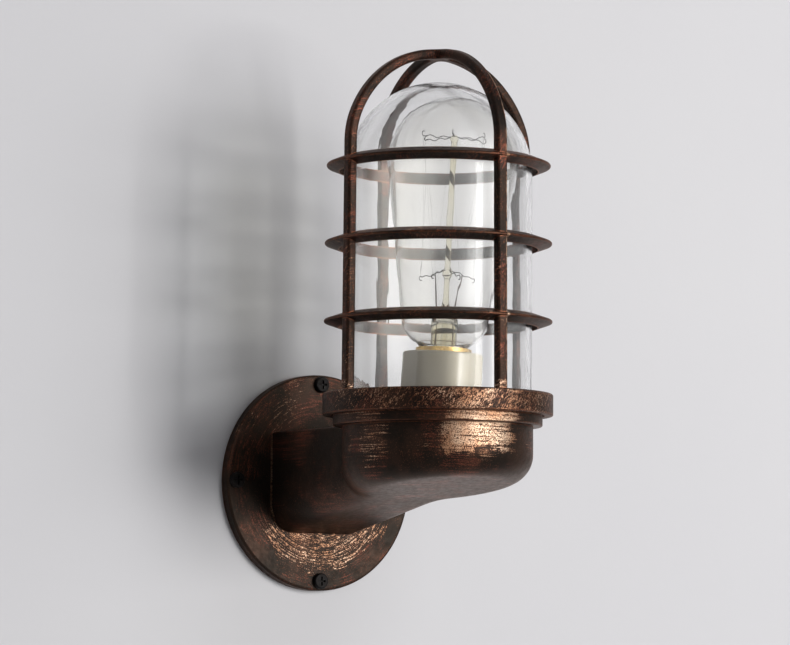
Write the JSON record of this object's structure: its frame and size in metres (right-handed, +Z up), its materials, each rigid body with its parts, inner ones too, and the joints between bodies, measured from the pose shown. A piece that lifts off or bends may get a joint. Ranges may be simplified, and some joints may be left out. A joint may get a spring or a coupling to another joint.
{
  "type": "outdoor wall light",
  "caption": "Caged bulkhead wall light: a round wall plate, a box arm and cup, a clear glass jar round a filament bulb, and a ringed guard with a domed top.",
  "frame": {"origin": "centre of the wall screw circle on the wall plate's back face", "axes": "+Y out of the plate's back face into the wall, +Z up along the lamp, +X to the right as seen from the room"},
  "size_m": [0.1132, 0.1926, 0.2659],
  "materials": {
    "distressed_copper": "aged copper, dry-brushed over near black, satin",
    "clear_glass": "clear, thick, slightly wavy",
    "bulb_glass": "clear, thin",
    "stem_glass": "clear, faintly straw-coloured",
    "cream_ceramic": "glazed cream porcelain",
    "brass": "bright, lightly worn",
    "black_steel": "blackened, satin",
    "zinc_steel": "zinc plated, dull",
    "copper_wire": "bare wire",
    "tungsten": "fine dull wire",
    "black_rubber": "matte",
    "silicone": "translucent grey, matte",
    "black_glaze": "vitreous insulator, glossy",
    "white_plastic": "moulded nylon",
    "brown_insulation": "insulation",
    "blue_insulation": "insulation",
    "green_insulation": "insulation"
  },
  "bodies": {
    "fixture": {"wall_plate": "distressed_copper", "wall_gasket": "black_rubber", "wall_screws": "black_steel", "cable_grommet": "black_rubber", "arm_housing": "distressed_copper", "arm_bolts": "zinc_steel", "terminal_block": "white_plastic", "terminal_screws": "zinc_steel", "block_screw": "zinc_steel", "earth_screw": "brass", "earth_tag": "zinc_steel", "live_lead": "brown_insulation", "neutral_lead": "blue_insulation", "earth_lead": "green_insulation", "lampholder_bracket": "zinc_steel", "bracket_screws": "zinc_steel", "lampholder_screws": "zinc_steel", "lampholder_body": "cream_ceramic", "lampholder_terminals": "brass", "lampholder_shell": "brass", "jar_gasket": "silicone"},
    "contact": {"centre_contact": "brass"},
    "bulb": {"bulb_cap": "brass", "bulb_insulator": "black_glaze", "bulb_contact": "zinc_steel", "bulb_envelope": "bulb_glass", "bulb_stem": "stem_glass", "filament": "tungsten", "filament_supports": "tungsten", "bulb_lead_wires": "copper_wire"},
    "glass": {"glass_jar": "clear_glass"},
    "seal": {"guard_seal": "silicone"},
    "cage": {"guard": "distressed_copper"}
  },
  "joints": [
    {"name": "glass_lift", "type": "slide", "parent": "fixture", "child": "glass", "axis": [0, 0, 1], "range_m": [0, 0.175]},
    {"name": "guard_rise", "type": "slide", "parent": "glass", "child": "seal", "axis": [0, 0, 1], "range_m": [0, 0.003]},
    {"name": "guard_turn", "type": "hinge", "parent": "seal", "child": "cage", "pos_m": [0, -0.112, 0.034], "axis": [0, 0, 1], "range_deg": [0, 540]},
    {"name": "contact_rise", "type": "slide", "parent": "fixture", "child": "contact", "axis": [0.0405, -0.0273, 0.9988], "range_m": [0, 0.0009]},
    {"name": "bulb_turn", "type": "hinge", "parent": "contact", "child": "bulb", "pos_m": [0, -0.112, 0.008], "axis": [0.0405, -0.0273, 0.9988], "range_deg": [0, 90]}
  ],
  "couplings": [
    {"joint": "guard_rise", "follows": "guard_turn", "m_per_rad": 0.0003183},
    {"joint": "contact_rise", "follows": "bulb_turn", "m_per_rad": 0.00057295}
  ]
}
